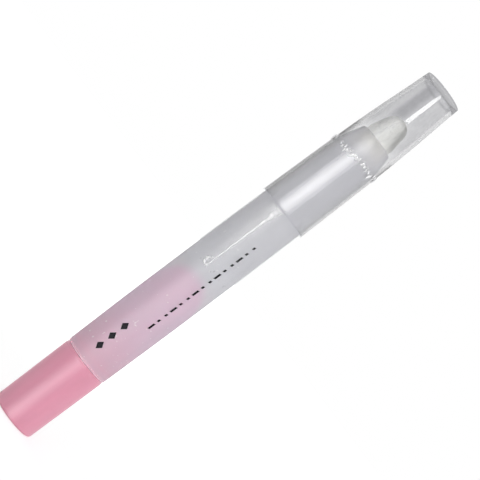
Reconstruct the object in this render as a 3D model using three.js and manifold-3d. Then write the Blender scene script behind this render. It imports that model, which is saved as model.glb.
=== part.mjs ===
// A twist-up eyeliner pen: a frosted barrel with a pink knob, a conical nose, a white core and a clear cap.
// Turning the knob turns a spiral sleeve, which drives the pins of a push rod along straight slots.
// Millimetres. +Z runs from the knob to the cap, and heights count from the knob's flat end.
import * as THREE from "three";
import { mergeVertices } from "three/addons/utils/BufferGeometryUtils.js";
import Module from "manifold-3d";

const wasm = await Module();
wasm.setup();

// Knob
const knobLength = 20.15;
const knobRearRadius = 5.94;
const knobFrontRadius = 6.1;
const knobRearRounding = 0.8;
const knobEndWall = 2;

// Barrel
const partingGap = 0.3;
const barrelLength = 74.45;
const barrelRearRadius = 6.12;
const barrelSwellRadius = 6.33;
const barrelSwellHeight = 45;
const barrelFrontRadius = 5.95;
const barrelBore = 5.42;
const edgeRounding = 0.35;

// Nose
const noseLength = 5.9;
const noseShoulder = 2.7;
const noseShoulderDrop = 0.48;
const noseRimRadius = 4.55;
const noseRimRounding = 0.3;
const noseSpigotLength = 7;
const noseBore = 3.9;
const seamGap = 0.1;

// Core and the cup that holds it
const coreRadius = 3.75;
const coreReach = 7.4;
const coreConeLength = 6.6;
const coreTipRadius = 1.8;
const coreTipRounding = 1;
const cupRadius = 5.1;
const cupDepth = 7;
const cupFloor = 1.5;
const cupBossRadius = 3.3;
const cupBossLength = 4;
const cupSlitWidth = 0.8;
const cupSlitDepth = 5;

// Spiral drive
const lead = 8;
const strokeBack = 7.6;
const strokeOut = 8.8;
const pinRadius = 0.7;
const pinEndGap = 0.4;
const rodRadius = 2.3;
const rodBore = 1.3;
const rodTail = 2.5;
const socketDepth = 4.6;

// Spiral sleeve
const sleeveReach = 30.55;
const sleeveRadius = 5.25;
const sleeveBore = 3.5;
const sleeveSeatDepth = 2.4;
const sleeveLipRounding = 1.6;
const grooveRadius = 4.6;
const spiralInset = 6.6;
const spiralRunOut = 1.65;
const tailRadius = 4.45;
const splineCount = 6;
const splineHeight = 0.35;
const splineWidth = 1.6;
const tailEndGap = 1;

// Snap bead and brake ring between the sleeve and the barrel
const beadInset = 2.2;
const beadHeight = 0.27;
const beadWidth = 0.8;
const ringInset = 4.6;
const ringSection = 0.35;

// Guide tube and the plug in its tail
const guideRadius = 3.25;
const guideBore = 2.55;
const guideTail = 2.05;
const guideFlange = 3;
const slotLength = 23;
const plugFlange = 1.2;
const plugDepth = 1.2;

// Cap
const capLength = 44.6;
const capOverlap = 20.1;
const capMouthRadius = 6.77;
const capKneeRadius = 6.4;
const capKneeHeight = 25.7;
const capKneeBlend = 8;
const capEndRadius = 5.3;
const capEndWall = 1.4;
const capFrontWall = 1;
const capEdgeRounding = 0.45;
const capMouthChamfer = 0.15;

// Shrink film over the joint of cap and barrel, torn in two along its perforation
const filmReach = 20.5;
const filmThickness = 0.12;
const filmGap = 0.05;
const filmTear = 0.4;

// Fits, as radial or end clearances
const capFit = 0.11;
const pressFit = 0.1;
const turningFit = 0.15;
const slidingFit = 0.25;
const stopGap = 0.6;

// Facets
const shellSides = 36;
const innerSides = 24;
const ringSides = 8;
const arcSteps = 2;
const curveSteps = 5;
const twistStepsPerTurn = 20;

// Heights that follow from the sizes above
const barrelRear = knobLength + partingGap;
const barrelFront = barrelRear + barrelLength;
const seam = barrelFront + seamGap;
const noseRim = seam + noseLength;
const spigotRear = seam - noseSpigotLength;
const coreFront = noseRim + coreReach;
const sleeveFront = barrelRear + sleeveReach;
const sleeveSeat = knobLength - sleeveSeatDepth;
const tailRear = knobEndWall + tailEndGap;
const spiralRear = barrelRear + spiralInset;
const pinReach = grooveRadius - pinEndGap;
const pinHeight = spiralRear + pinRadius + spiralRunOut + strokeBack;
const cupTop = spigotRear - stopGap - strokeOut;
const cupSeat = cupTop - cupDepth;
const cupRear = cupSeat - cupFloor;
const bossRear = cupRear - cupBossLength;
const guideRear = spiralRear - guideTail;
const flangeRear = sleeveFront + stopGap;
const flangeFront = flangeRear + guideFlange;
const guideFront = bossRear - strokeBack - stopGap;
const capMouth = barrelFront - capOverlap;
const capEnd = capMouth + capLength;
const capInnerEnd = capEnd - capEndWall;
const capKnee = capMouth + capKneeHeight;

// The barrel swells in the middle: one parabola on each side of the swell.
function barrelRadius(height) {
  const forward = height > barrelSwellHeight;
  const endRadius = forward ? barrelFrontRadius : barrelRearRadius;
  const end = forward ? barrelFront : barrelRear;
  const share = (height - barrelSwellHeight) / (end - barrelSwellHeight);
  return barrelSwellRadius - (barrelSwellRadius - endRadius) * share ** 2;
}

// The cap has two straight tapers, blended over a parabola at the knee.
function capRadius(height) {
  const rearSlope = (capMouthRadius - capKneeRadius) / capKneeHeight;
  const frontSlope = (capKneeRadius - capEndRadius) / (capEnd - capKnee);
  const rise = height - capKnee;
  if (Math.abs(rise) >= capKneeBlend) return capKneeRadius - rise * (rise < 0 ? rearSlope : frontSlope);
  const bend = ((frontSlope - rearSlope) * (rise ** 2 + capKneeBlend ** 2)) / (4 * capKneeBlend);
  return capKneeRadius - ((rearSlope + frontSlope) / 2) * rise - bend;
}

// Outlines run anticlockwise in radius and height: up the outside, then down the inside or the axis.
function follow(path, radiusAt, from, to) {
  for (let i = 0; i <= curveSteps; i++) {
    const height = THREE.MathUtils.lerp(from, to, i / curveSteps);
    path.lineTo(radiusAt(height), height);
  }
  return path;
}

function revolve(path, sides) {
  return new THREE.LatheGeometry(path.getPoints(arcSteps), sides).rotateX(Math.PI / 2);
}

function cylinder(radius, from, to) {
  const path = new THREE.Path().moveTo(0, from).lineTo(radius, from);
  return revolve(path.lineTo(radius, to).lineTo(0, to), innerSides);
}

function tube(bore, radius, from, to) {
  const path = new THREE.Path().moveTo(bore, from).lineTo(radius, from);
  return revolve(path.lineTo(radius, to).lineTo(bore, to).closePath(), innerSides);
}

function box(width, depth, from, to) {
  return new THREE.BoxGeometry(width, depth, to - from).translate(0, 0, (from + to) / 2);
}

// A prism of a flat shape between two heights.
function prism(shape, from, to, steps = 1) {
  const settings = { depth: to - from, steps, curveSegments: arcSteps, bevelEnabled: false };
  return new THREE.ExtrudeGeometry(shape, settings).translate(0, 0, from);
}

// Joins and cuts on closed solids.
function solidOf(geometry) {
  const bare = new THREE.BufferGeometry().setAttribute("position", geometry.getAttribute("position"));
  const merged = mergeVertices(bare.setIndex(geometry.index), 1e-4);
  const vertProperties = merged.getAttribute("position").array;
  const triVerts = new Uint32Array(merged.index.array);
  return new wasm.Manifold(new wasm.Mesh({ numProp: 3, vertProperties, triVerts }));
}

function geometryOf(solid) {
  const { vertProperties, triVerts } = solid.getMesh();
  const geometry = new THREE.BufferGeometry();
  geometry.setAttribute("position", new THREE.BufferAttribute(vertProperties, 3));
  geometry.setIndex(new THREE.BufferAttribute(triVerts, 1));
  geometry.computeVertexNormals();
  return geometry;
}

function cut(geometry, ...tools) {
  return geometryOf(tools.reduce((solid, tool) => solid.subtract(solidOf(tool)), solidOf(geometry)));
}

function join(geometry, ...others) {
  return geometryOf(others.reduce((solid, other) => solid.add(solidOf(other)), solidOf(geometry)));
}

// A round with keys standing out of it all round, grown by a fit.
function splineShape(fit) {
  const shape = new THREE.Shape();
  const pitch = (2 * Math.PI) / splineCount;
  const root = tailRadius + fit;
  const top = root + splineHeight;
  const half = splineWidth / 2 + fit;
  for (let i = 0; i < splineCount; i++) {
    const atRoot = Math.asin(half / root);
    const atTop = Math.asin(half / top);
    const polar = (radius, angle) => {
      const turned = i * pitch + angle;
      return [radius * Math.cos(turned), radius * Math.sin(turned)];
    };
    const start = polar(root, -atRoot);
    if (i === 0) shape.moveTo(...start);
    else shape.lineTo(...start);
    shape.lineTo(...polar(top, -atTop)).lineTo(...polar(top, atTop)).lineTo(...polar(root, atRoot));
    shape.lineTo(...polar(root, pitch / 2));
  }
  return shape;
}

// Two spiral grooves: a two-lobed section carried up the axis while it turns once in each lead.
function spiralCutter() {
  const quarter = Math.PI / 2;
  const core = sleeveBore - turningFit;
  const shape = new THREE.Shape();
  for (let i = 0; i < 4; i++) {
    const radius = i % 2 ? core : grooveRadius;
    shape.absarc(0, 0, radius, (i - 0.5) * quarter, (i + 0.5) * quarter);
  }
  const top = sleeveFront + 1;
  const steps = Math.ceil(((top - spiralRear) / lead) * twistStepsPerTurn);
  const cutter = prism(shape, spiralRear, top, steps);
  const position = cutter.getAttribute("position");
  const point = new THREE.Vector3();
  const axis = new THREE.Vector3(0, 0, 1);
  for (let i = 0; i < position.count; i++) {
    point.fromBufferAttribute(position, i);
    point.applyAxisAngle(axis, (-2 * Math.PI * (point.z - pinHeight)) / lead);
    position.setXYZ(i, point.x, point.y, point.z);
  }
  return cutter;
}

function knobGeometry() {
  const seat = sleeveRadius + pressFit;
  const lip = knobFrontRadius - edgeRounding;
  const path = new THREE.Path().moveTo(0, 0).lineTo(knobRearRadius - knobRearRounding, 0);
  path.quadraticCurveTo(knobRearRadius, 0, knobRearRadius, knobRearRounding);
  path.lineTo(knobFrontRadius, knobLength - edgeRounding);
  path.quadraticCurveTo(knobFrontRadius, knobLength, lip, knobLength).lineTo(seat, knobLength);
  path.lineTo(seat, sleeveSeat - pressFit).lineTo(0, sleeveSeat - pressFit);
  return cut(revolve(path, shellSides), prism(splineShape(pressFit), knobEndWall, sleeveSeat));
}

function sleeveGeometry() {
  const bead = barrelRear + beadInset;
  const ring = barrelRear + ringInset;
  const ringHalf = ringSection + pressFit;
  const ringFloor = barrelBore - turningFit / 2 - 2 * ringSection - pressFit;
  const path = new THREE.Path().moveTo(0, sleeveSeat).lineTo(sleeveRadius, sleeveSeat);
  path.lineTo(sleeveRadius, bead - beadWidth).lineTo(sleeveRadius + beadHeight, bead);
  path.lineTo(sleeveRadius, bead + beadWidth / 2);
  path.lineTo(sleeveRadius, ring - ringHalf).lineTo(ringFloor, ring - ringHalf);
  path.lineTo(ringFloor, ring + ringHalf).lineTo(sleeveRadius, ring + ringHalf);
  path.lineTo(sleeveRadius, sleeveFront - sleeveLipRounding);
  path.quadraticCurveTo(sleeveRadius, sleeveFront, grooveRadius, sleeveFront).lineTo(0, sleeveFront);
  const tail = prism(splineShape(0), tailRear, sleeveSeat + pressFit);
  const body = join(revolve(path, shellSides), tail);
  return cut(body, cylinder(sleeveBore, tailRear - 1, sleeveFront + 1), spiralCutter());
}

function brakeRingGeometry() {
  const middle = barrelBore - turningFit / 2 - ringSection;
  const ring = new THREE.TorusGeometry(middle, ringSection, ringSides, shellSides);
  return ring.translate(0, 0, barrelRear + ringInset);
}

function barrelGeometry() {
  const groove = sleeveRadius + beadHeight + turningFit;
  const bead = barrelRear + beadInset;
  const path = new THREE.Path().moveTo(barrelBore, barrelRear);
  path.lineTo(barrelRearRadius - edgeRounding, barrelRear);
  path.quadraticCurveTo(barrelRearRadius, barrelRear, barrelRearRadius, barrelRear + edgeRounding);
  follow(path, barrelRadius, barrelRear + 2 * edgeRounding, barrelSwellHeight);
  follow(path, barrelRadius, barrelSwellHeight, barrelFront);
  path.lineTo(barrelBore, barrelFront).lineTo(barrelBore, bead + beadWidth);
  path.lineTo(groove, bead + beadWidth / 2).lineTo(groove, bead - beadWidth / 2);
  path.lineTo(barrelBore, bead - beadWidth - turningFit).closePath();
  return revolve(path, shellSides);
}

function noseGeometry() {
  const spigot = barrelBore - pressFit;
  const shoulderRadius = barrelFrontRadius - noseShoulderDrop;
  const shoulder = seam + noseShoulder;
  const slope = (shoulderRadius - noseRimRadius) / (noseRim - noseRimRounding - shoulder);
  const corner = shoulder - noseShoulderDrop / slope;
  const path = new THREE.Path().moveTo(noseBore, spigotRear).lineTo(spigot, spigotRear);
  path.lineTo(spigot, seam).lineTo(barrelFrontRadius, seam);
  path.quadraticCurveTo(barrelFrontRadius, corner, shoulderRadius, shoulder);
  path.lineTo(noseRimRadius, noseRim - noseRimRounding);
  const rim = noseRimRadius - noseRimRounding;
  path.quadraticCurveTo(noseRimRadius - noseRimRounding / 3, noseRim, rim, noseRim);
  path.lineTo(noseBore, noseRim).closePath();
  return revolve(path, shellSides);
}

function coreGeometry() {
  const coneRear = coreFront - coreConeLength;
  const tip = coreTipRadius - coreTipRounding;
  const path = new THREE.Path().moveTo(0, cupSeat + pressFit).lineTo(coreRadius, cupSeat + pressFit);
  path.lineTo(coreRadius, coneRear).lineTo(coreTipRadius, coreFront - coreTipRounding);
  path.quadraticCurveTo(coreTipRadius - coreTipRounding / 3, coreFront, tip, coreFront);
  return revolve(path.lineTo(0, coreFront), innerSides);
}

// The cup's slits make four springy fingers that grip the core.
function cupGeometry() {
  const socketTop = bossRear + socketDepth;
  const socket = rodRadius + pressFit;
  const bore = coreRadius + pressFit;
  const path = new THREE.Path().moveTo(0, socketTop).lineTo(socket, socketTop).lineTo(socket, bossRear);
  path.lineTo(cupBossRadius, bossRear).lineTo(cupBossRadius, cupRear).lineTo(cupRadius, cupRear);
  path.lineTo(cupRadius, cupTop).lineTo(bore, cupTop).lineTo(bore, cupSeat).lineTo(0, cupSeat);
  const slit = [cupTop - cupSlitDepth, cupTop + 1];
  const across = 2 * cupRadius + 1;
  const tools = [box(across, cupSlitWidth, ...slit), box(cupSlitWidth, across, ...slit)];
  return cut(revolve(path, innerSides), ...tools);
}

// The rod's two pins reach through the guide tube's slots into the spiral grooves.
function rodGeometry() {
  const stem = tube(rodBore, rodRadius, pinHeight - rodTail, bossRear + socketDepth - pressFit);
  const pinLength = pinReach - (rodBore + rodRadius) / 2;
  const pins = [1, -1].map((side) => {
    const pin = new THREE.CylinderGeometry(pinRadius, pinRadius, pinLength, innerSides / 2);
    return pin.rotateZ(Math.PI / 2).translate(side * (pinReach - pinLength / 2), 0, pinHeight);
  });
  return join(stem, ...pins);
}

function guideGeometry() {
  const flange = barrelBore - pressFit;
  const path = new THREE.Path().moveTo(guideBore, guideRear).lineTo(guideRadius, guideRear);
  path.lineTo(guideRadius, flangeRear).lineTo(flange, flangeRear).lineTo(flange, flangeFront);
  path.lineTo(guideRadius, flangeFront).lineTo(guideRadius, guideFront).lineTo(guideBore, guideFront);
  const slotWidth = 2 * (pinRadius + slidingFit);
  const slots = box(2 * guideRadius + 1, slotWidth, guideRear - 1, guideRear + slotLength);
  return cut(revolve(path.closePath(), innerSides), slots);
}

// The plug closes the slots' open ends with two keys, so that the tube's fingers can't spread.
function plugGeometry() {
  const flangeTop = guideRear - pressFit;
  const plugTop = guideRear + plugDepth;
  const plugRear = flangeTop - plugFlange;
  const path = new THREE.Path().moveTo(0, plugRear).lineTo(guideRadius, plugRear);
  path.lineTo(guideRadius, flangeTop).lineTo(guideBore - pressFit, flangeTop);
  path.lineTo(guideBore - pressFit, plugTop).lineTo(0, plugTop);
  const keys = box(2 * guideRadius - pressFit, 2 * pinRadius, flangeTop - pressFit, plugTop);
  return join(revolve(path, innerSides), keys);
}

function capGeometry() {
  const bore = (height) => capRadius(height) - capFrontWall;
  const mouthBore = barrelRadius(capMouth) + capFit;
  const rounding = capEnd - capEdgeRounding;
  const path = new THREE.Path().moveTo(mouthBore + capMouthChamfer, capMouth);
  path.lineTo(capMouthRadius, capMouth);
  follow(path, capRadius, capKnee - capKneeBlend, capKnee + capKneeBlend);
  path.lineTo(capRadius(rounding), rounding);
  path.quadraticCurveTo(capEndRadius, capEnd, capEndRadius - capEdgeRounding, capEnd).lineTo(0, capEnd);
  path.lineTo(0, capInnerEnd).lineTo(bore(capInnerEnd) - capEdgeRounding, capInnerEnd);
  path.lineTo(bore(capInnerEnd), capInnerEnd - capEdgeRounding);
  follow(path, bore, capKnee + capKneeBlend, noseRim);
  follow(path, (height) => barrelRadius(height) + capFit, barrelFront, capMouth + capMouthChamfer);
  return revolve(path.closePath(), shellSides);
}

// Film that lies on a round form between two heights.
function filmGeometry(radiusAt, from, to) {
  const inner = (height) => radiusAt(height) + filmGap;
  const outer = (height) => inner(height) + filmThickness;
  const path = new THREE.Path().moveTo(inner(from), from);
  follow(path, outer, from, to);
  follow(path, inner, to, from);
  return revolve(path.closePath(), shellSides);
}

const finishes = {
  pink: { color: 0xf08fa6, roughness: 0.35 },
  frosted: { color: 0xd9d8de, roughness: 0.45, transparent: true, opacity: 0.8 },
  natural: { color: 0xeeeeea, roughness: 0.5 },
  silicone: { color: 0xe994a8, roughness: 0.6 },
  core: { color: 0xe9e8e2, roughness: 0.65 },
  clear: { color: 0xf4f5f7, roughness: 0.08, transparent: true, opacity: 0.3 },
  film: { color: 0xffffff, roughness: 0.12, transparent: true, opacity: 0.15 },
};

function piece(name, finish, geometry) {
  const material = new THREE.MeshStandardMaterial({ metalness: 0, ...finishes[finish] });
  const mesh = new THREE.Mesh(geometry, material);
  mesh.name = name;
  return mesh;
}

const knobUnit = new THREE.Group().add(
  piece("knob", "pink", knobGeometry()),
  piece("spiral_sleeve", "pink", sleeveGeometry()),
  piece("brake_ring", "silicone", brakeRingGeometry()),
);

const barrelUnit = new THREE.Group().add(
  piece("barrel", "frosted", barrelGeometry()),
  piece("nose", "frosted", noseGeometry()),
  piece("guide_tube", "natural", guideGeometry()),
  piece("guide_plug", "natural", plugGeometry()),
  piece("seal_film_rear", "film", filmGeometry(barrelRadius, capMouth - filmReach, capMouth - filmTear)),
);

const coreUnit = new THREE.Group().add(
  piece("push_rod", "natural", rodGeometry()),
  piece("core_cup", "natural", cupGeometry()),
  piece("core", "core", coreGeometry()),
);

const capUnit = new THREE.Group().add(
  piece("cap", "clear", capGeometry()),
  piece("seal_film_front", "film", filmGeometry(capRadius, capMouth, capMouth + filmReach)),
);

export default new THREE.Group().add(knobUnit, barrelUnit, coreUnit, capUnit);
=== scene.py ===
"""A twist-up eyeliner pen: pink knob, frosted barrel and nose, white core, clear cap and torn film."""

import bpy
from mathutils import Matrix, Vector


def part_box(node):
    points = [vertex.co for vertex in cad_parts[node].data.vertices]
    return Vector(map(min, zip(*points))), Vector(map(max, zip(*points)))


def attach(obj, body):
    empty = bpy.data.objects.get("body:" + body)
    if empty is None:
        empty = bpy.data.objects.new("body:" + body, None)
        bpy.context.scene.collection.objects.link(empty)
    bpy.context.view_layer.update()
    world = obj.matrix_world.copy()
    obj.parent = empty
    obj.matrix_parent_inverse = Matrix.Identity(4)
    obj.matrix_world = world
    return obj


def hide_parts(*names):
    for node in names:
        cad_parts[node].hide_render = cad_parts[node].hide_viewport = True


bl_info = {
    "name": "Twist-up Eyeliner Pen",
    "version": (1, 0, 0),
    "blender": (4, 5, 0),
    "location": "View3D > Sidebar > Pen",
    "description": "Builds the shells, the film, the print and the finishes of a twist-up eyeliner pen",
    "category": "Object",
}

import collections
import math

import bpy
import numpy as np
from bpy.props import FloatProperty, FloatVectorProperty, IntProperty, PointerProperty
from mathutils import Matrix

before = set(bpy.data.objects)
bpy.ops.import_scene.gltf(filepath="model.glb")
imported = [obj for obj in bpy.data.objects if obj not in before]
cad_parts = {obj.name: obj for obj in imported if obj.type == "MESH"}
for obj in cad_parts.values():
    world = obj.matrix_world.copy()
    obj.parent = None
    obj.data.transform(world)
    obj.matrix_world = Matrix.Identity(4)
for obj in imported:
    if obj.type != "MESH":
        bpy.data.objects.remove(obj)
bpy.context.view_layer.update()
MM = 0.001

Span = collections.namedtuple("Span", "rear front radius")


def span(node):
    """Rear height, front height and greatest radius of a CAD node."""
    low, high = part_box(node)
    return Span(low.z, high.z, high.x)


KNOB = span("knob")
BARREL = span("barrel")
NOSE = span("nose")
CORE = span("core")
CAP = span("cap")
FILM_REAR = span("seal_film_rear")
FILM_FRONT = span("seal_film_front")
SLEEVE = span("spiral_sleeve")


def length(name, description, default):
    """A size in metres."""
    return FloatProperty(
        name=name, description=description, default=default, min=0.0, precision=5, unit="LENGTH"
    )


def colour(name, description, default):
    """A linear colour."""
    return FloatVectorProperty(
        name=name, description=description, default=default, size=3, min=0.0, max=1.0, subtype="COLOR"
    )


def degrees(name, description, default):
    """An angle that is given in degrees and kept in radians."""
    return FloatProperty(
        name=name, description=description, default=math.radians(default), subtype="ANGLE"
    )


def number(name, description, default):
    """A plain share or strength."""
    return FloatProperty(name=name, description=description, default=default, min=0.0)


class PenSizes(bpy.types.PropertyGroup):
    """Sizes of the shells, the film and the print. Heights and overall radii come from the frame."""

    knob_rear_radius: length("Knob rear radius", "Radius of the knob beside its flat end", 5.94 * MM)
    knob_rear_rounding: length("Knob rear rounding", "Rounding round the knob's flat end", 0.8 * MM)
    knob_end_wall: length("Knob end wall", "Thickness of the knob's closed end", 2.0 * MM)
    knob_seat: length("Knob seat", "Depth of the wide seat for the sleeve in the knob's front", 2.5 * MM)
    knob_ledge: length("Knob ledge", "Step between that seat and the narrower hollow", 0.4 * MM)
    knob_inner_rounding: length("Knob inner rounding", "Rounding in the knob's hollow", 0.3 * MM)
    knob_collar_radius: length("Knob collar radius", "Radius of the knob's low collar", 5.97 * MM)
    knob_collar: length("Knob collar", "Height of that collar", 0.27 * MM)
    knob_slope: length("Knob slope", "Height of the slope round the knob's front edge", 0.4 * MM)
    knob_slope_depth: length("Knob slope depth", "How far that slope draws in", 0.12 * MM)
    gate_radius: length("Gate radius", "Radius of the moulding gate's dimple in the knob's end", 1.1 * MM)
    gate_depth: length("Gate depth", "Depth of the moulding gate's dimple", 0.12 * MM)
    edge_rounding: length("Edge rounding", "Rounding of the barrel's edge at the parting groove", 0.2 * MM)
    barrel_rear_radius: length("Barrel rear radius", "Radius of the barrel at the parting groove", 6.12 * MM)
    barrel_front_radius: length("Barrel front radius", "Radius of the barrel at the nose", 5.95 * MM)
    barrel_swell_height: length("Barrel swell height", "Height of the barrel's thickest place", 45.0 * MM)
    barrel_bore: length("Barrel bore", "Inner radius of the barrel", 5.42 * MM)
    nose_seam: length("Nose seam", "Gap between the barrel and the nose's shoulder", 0.01 * MM)
    nose_shoulder: length("Nose shoulder", "Height of the nose's round shoulder over the seam", 2.7 * MM)
    nose_shoulder_drop: length("Nose shoulder drop", "How far the round shoulder draws in", 0.48 * MM)
    nose_rim_radius: length("Nose rim radius", "Outer radius of the nose's rim", 4.55 * MM)
    nose_rim_rounding: length("Nose rim rounding", "Rounding of the nose's rim", 0.3 * MM)
    nose_spigot: length("Nose spigot", "Radius of the nose's spigot in the barrel", 5.32 * MM)
    nose_bore: length("Nose bore", "Inner radius of the nose", 3.9 * MM)
    core_cone: length("Core cone", "Length of the core's cone with its blunt tip", 5.9 * MM)
    core_tip_radius: length("Core tip radius", "Radius of the core beside its blunt tip", 2.5 * MM)
    core_tip_rounding: length("Core tip rounding", "Rounding of the core's blunt tip", 2.2 * MM)
    core_rear_rounding: length("Core rear rounding", "Rounding of the core's rear edge", 0.2 * MM)
    core_shoulder: length("Core shoulder", "Rounding where the core's cone begins", 0.6 * MM)
    core_crown: length("Core crown", "Height of the crown on the core's blunt tip", 0.2 * MM)
    core_lean: length("Core lean", "How far the core's worn tip leans to the right", 0.15 * MM)
    core_wear: length("Core wear", "Unevenness of the core's cone", 0.05 * MM)
    cap_knee_radius: length("Cap knee radius", "Radius of the cap where its taper steepens", 6.4 * MM)
    cap_knee_height: length("Cap knee height", "Height of that knee over the cap's mouth", 25.7 * MM)
    cap_knee_blend: length("Cap knee blend", "Half length of the smooth bend at the knee", 8.0 * MM)
    cap_end_radius: length("Cap end radius", "Radius of the cap's closed end", 5.3 * MM)
    cap_end_wall: length("Cap end wall", "Thickness of the cap's closed end", 1.4 * MM)
    cap_wall: length("Cap wall", "Thickness of the cap's wall ahead of the nose", 1.0 * MM)
    cap_fit: length("Cap fit", "Gap between the barrel and the cap", 0.11 * MM)
    cap_rounding: length("Cap rounding", "Rounding of the cap's closed end", 0.15 * MM)
    cap_mouth_rounding: length("Cap mouth rounding", "Rounding of the cap's mouth", 0.05 * MM)
    film_gap: length("Film gap", "Gap between the film and what it lies on", 0.05 * MM)
    film_spread: length("Film spread", "How far each half of the film spreads towards the tear", 0.17 * MM)
    film_thickness: length("Film thickness", "Thickness of the film", 0.12 * MM)
    film_taper: length("Film taper", "Length over which the film thins to its shrunken edge", 0.6 * MM)
    film_ragged: length("Film ragged", "How far pleats and a slant draw that edge in or out", 0.5 * MM)
    pleat_height: length("Pleat height", "Height of the pleats at the film's shrunken edges", 0.22 * MM)
    pleat_length: length("Pleat length", "Length of those pleats along the pen", 0.4 * MM)
    pleat_count: IntProperty(name="Pleat count", description="Pleats round each edge", default=84, min=3)
    crease_height: length("Crease height", "Height of the film's lengthwise crease", 0.1 * MM)
    crease_width: length("Crease width", "Scale of the width of the film's crease", 0.36 * MM)
    crease_side: length("Crease side", "How far the crease lies to the left of the middle", 0.9 * MM)
    fold_radius: length("Fold radius", "Radius of the small round fold at the film's rear edge", 1.2 * MM)
    fold_width: length("Fold width", "Width of that fold", 0.24 * MM)
    ink_thickness: length("Ink thickness", "Thickness of the print", 0.02 * MM)
    dash_azimuth: degrees("Dash azimuth", "Angle of the row of dashes round the barrel", -66.0)
    dash_start: length("Dash start", "Height of the first dash of the print", 37.0 * MM)
    dash_pitch: length("Dash pitch", "Step from dash to dash", 2.0 * MM)
    dash_long: length("Dash long", "Length of every third dash", 1.7 * MM)
    dash_short: length("Dash short", "Length of the other dashes", 0.7 * MM)
    dash_width: length("Dash width", "Width of a dash round the barrel", 0.5 * MM)
    dash_slant: length("Dash slant", "Rise of a dash's ends", 0.25 * MM)
    dash_count: IntProperty(name="Dash count", description="Dashes in the row", default=15, min=1)
    lozenge_azimuth: degrees("Lozenge azimuth", "Angle of the row of lozenges round the barrel", -99.0)
    lozenge_start: length("Lozenge start", "Height of the first lozenge of the print", 25.6 * MM)
    lozenge_pitch: length("Lozenge pitch", "Step from lozenge to lozenge", 3.4 * MM)
    lozenge_half_width: length("Lozenge half width", "Half of a lozenge's width", 0.85 * MM)
    lozenge_half_height: length("Lozenge half height", "Half of a lozenge's height", 1.15 * MM)
    lozenge_count: IntProperty(name="Lozenge count", description="Lozenges in the row", default=3, min=1)


class PenColours(bpy.types.PropertyGroup):
    """Colours of the finishes."""

    knob_pink: colour("Knob pink", "Colour of the knob", (0.715, 0.287, 0.393))
    sleeve_pink: colour("Sleeve pink", "Colour of the spiral sleeve inside the barrel", (0.95, 0.26, 0.42))
    frosted: colour("Frosted plastic", "Colour of the barrel and the nose", (0.735, 0.735, 0.765))
    blush: colour("Blush", "Colour of the barrel over the pink sleeve", (0.757, 0.642, 0.738))
    deep_blush: colour("Deep blush", "Colour of the barrel beside the knob", (0.765, 0.57, 0.665))
    glow: colour("Glow", "Colour of the nose where the white core lies behind it", (0.80, 0.785, 0.765))
    natural: colour("Natural plastic", "Colour of the moulded pieces inside", (0.56, 0.56, 0.55))
    silicone: colour("Silicone", "Colour of the brake ring", (0.92, 0.30, 0.45))
    wax: colour("Core", "Colour of the white core", (0.94, 0.94, 0.89))
    ink: colour("Ink", "Colour of the print", (0.012, 0.011, 0.014))


class StageSettings(bpy.types.PropertyGroup):
    """Camera, lamps and background."""

    distance: length("Camera distance", "Distance of the camera from the pen's axis", 365.0 * MM)
    frame_width: length("Frame width", "Width of the picture at the pen's axis", 106.2 * MM)
    aim_height: length("Aim height", "Height at the middle of the picture", 63.7 * MM)
    aim_side: FloatProperty(
        name="Aim side", description="Side step of the camera", default=-0.84 * MM, unit="LENGTH"
    )
    tilt: degrees("Tilt", "Angle of the pen in the picture", 37.02)
    ambient: number("Ambient", "Light of the surroundings on matt surfaces", 0.45)
    key: number("Key", "Radiance of the stacked lamps beside the camera, all together", 3.3)
    spot: number("Spot", "Radiance of the small lamp over the camera", 11.0)
    glint: number("Glint", "Radiance of the two lamps that only show as glints on rounded edges", 26.0)
    fill: number("Fill", "Radiance of the side and back lamps", 1.2)


# Meshes from grids

# Columns round each turned shell.
COLUMNS = 192


def rounded_outline(corners, spacing=0.6 * MM, steps=9, closed=True):
    """A dense outline of radius and height from corners of radius, height and rounding.

    Each corner P gives the curve (1-t)^2 A + 2t(1-t) P + t^2 B, with A and B one rounding away from P.
    Straight stretches between the curves are divided evenly, so that no step is longer than spacing.
    """
    corners = np.asarray(corners, float)
    place = corners[:, :2]
    before = np.roll(place, 1, 0) - place
    after = np.roll(place, -1, 0) - place
    rounding = corners[:, 2:]
    if not closed:
        rounding = rounding * np.r_[0.0, np.ones(len(place) - 2), 0.0][:, None]
    start = place + rounding * before / np.linalg.norm(before, axis=1, keepdims=True)
    stop = place + rounding * after / np.linalg.norm(after, axis=1, keepdims=True)
    t = np.linspace(0.0, 1.0, steps)[None, :, None]
    curves = (1 - t) ** 2 * start[:, None] + 2 * t * (1 - t) * place[:, None] + t**2 * stop[:, None]
    points = curves.reshape(-1, 2)
    apart = np.linalg.norm(points - np.roll(points, 1, 0), axis=1) > 1e-8
    points = points[apart | (np.arange(len(points)) == 0)]
    ahead = np.roll(points, -1, 0)
    if not closed:
        ahead[-1] = points[-1]
    count = np.maximum(1, np.ceil(np.linalg.norm(ahead - points, axis=1) / spacing)).astype(int)
    first = np.repeat(np.arange(len(points)), count)
    step = np.arange(count.sum()) - np.repeat(np.cumsum(count) - count, count)
    return points[first] + (step / count[first])[:, None] * (ahead - points)[first]


def around(columns):
    """Angles of the columns round the pen's axis."""
    return np.linspace(0.0, 2 * math.pi, columns, endpoint=False)


def turned(radius, height, columns):
    """Points r cos a, r sin a, h of a surface of turning: rows along its outline, columns of angle a."""
    angle = around(columns)[None, :]
    radius, height = np.broadcast_arrays(radius.reshape(len(radius), -1), height.reshape(len(height), -1))
    radius, height = (np.broadcast_to(a, (len(a), columns)) for a in (radius, height))
    return np.stack([radius * np.cos(angle), radius * np.sin(angle), height], axis=-1)


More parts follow.
